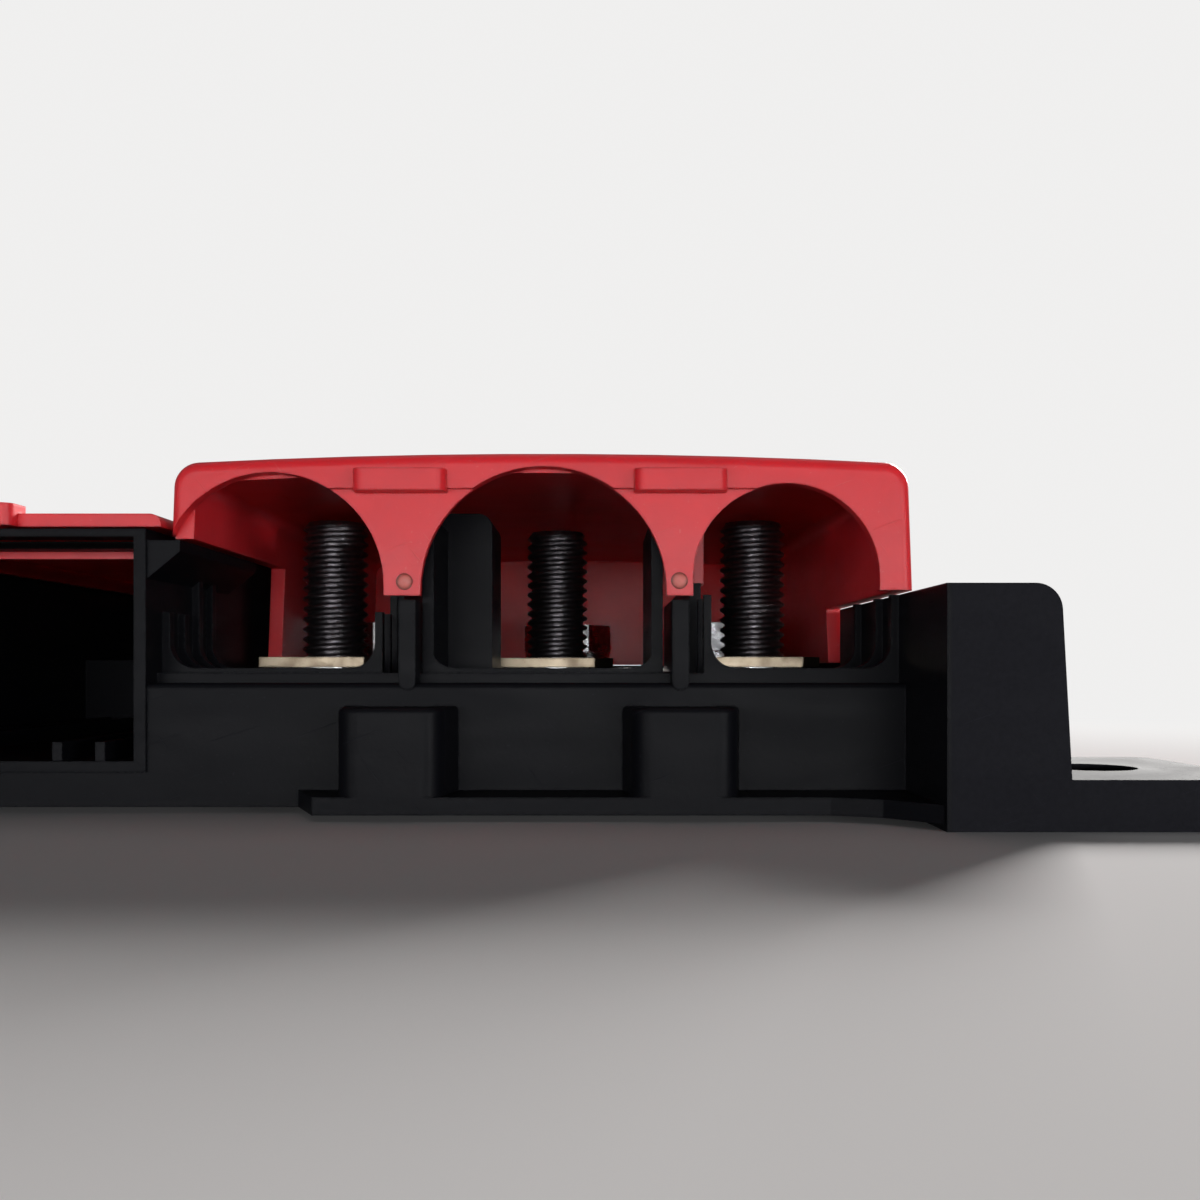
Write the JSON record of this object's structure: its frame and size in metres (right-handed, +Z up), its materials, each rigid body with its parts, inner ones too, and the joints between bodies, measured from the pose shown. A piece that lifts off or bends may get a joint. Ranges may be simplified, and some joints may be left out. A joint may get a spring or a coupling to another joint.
{
  "type": "fuse box",
  "caption": "Bolt-down fuse box: threaded studs in open cable bays under a hinged cover with arched mouths, a lidded feed bay beside them and four mounting lugs.",
  "frame": {"origin": "middle of the footprint on the mounting plane", "axes": "+X to the right for someone facing the arched cable mouths, +Y away from them, +Z up"},
  "size_m": [0.171, 0.1326, 0.0361],
  "materials": {
    "housing": "moulded, satin, grained on the blocks",
    "cover": "moulded, soft gloss",
    "stud_steel": "dark plated",
    "zinc": "bright zinc plated",
    "strip_brass": "rolled, sheared edges",
    "insert_brass": "turned",
    "bar_copper": "tin-plated copper"
  },
  "bodies": {
    "housing": {"base_housing": "housing", "bus_bar": "bar_copper", "stud_left": "stud_steel", "stud_middle": "stud_steel", "stud_right": "stud_steel", "seat_washer_left": "zinc", "seat_washer_middle": "zinc", "seat_washer_right": "zinc", "fuse_strip_left": "strip_brass", "fuse_strip_middle": "strip_brass", "fuse_strip_right": "strip_brass", "threaded_insert_left": "insert_brass", "threaded_insert_middle": "insert_brass", "threaded_insert_right": "insert_brass", "rear_bolt_left": "zinc", "rear_bolt_middle": "zinc", "rear_bolt_right": "zinc", "stud_feed": "stud_steel", "seat_washer_feed": "zinc"},
    "cover": {"terminal_cover": "cover"},
    "lid": {"feed_bay_lid": "cover"}
  },
  "joints": [
    {"name": "cover_hinge", "type": "hinge", "parent": "housing", "child": "cover", "pos_m": [0.0189, 0.055, 0.017], "axis": [-1, 0, 0], "range_deg": [0, 105]},
    {"name": "lid_hinge", "type": "hinge", "parent": "housing", "child": "lid", "pos_m": [-0.0378, 0.055, 0.0256], "axis": [-1, 0, 0], "range_deg": [0, 105]}
  ]
}
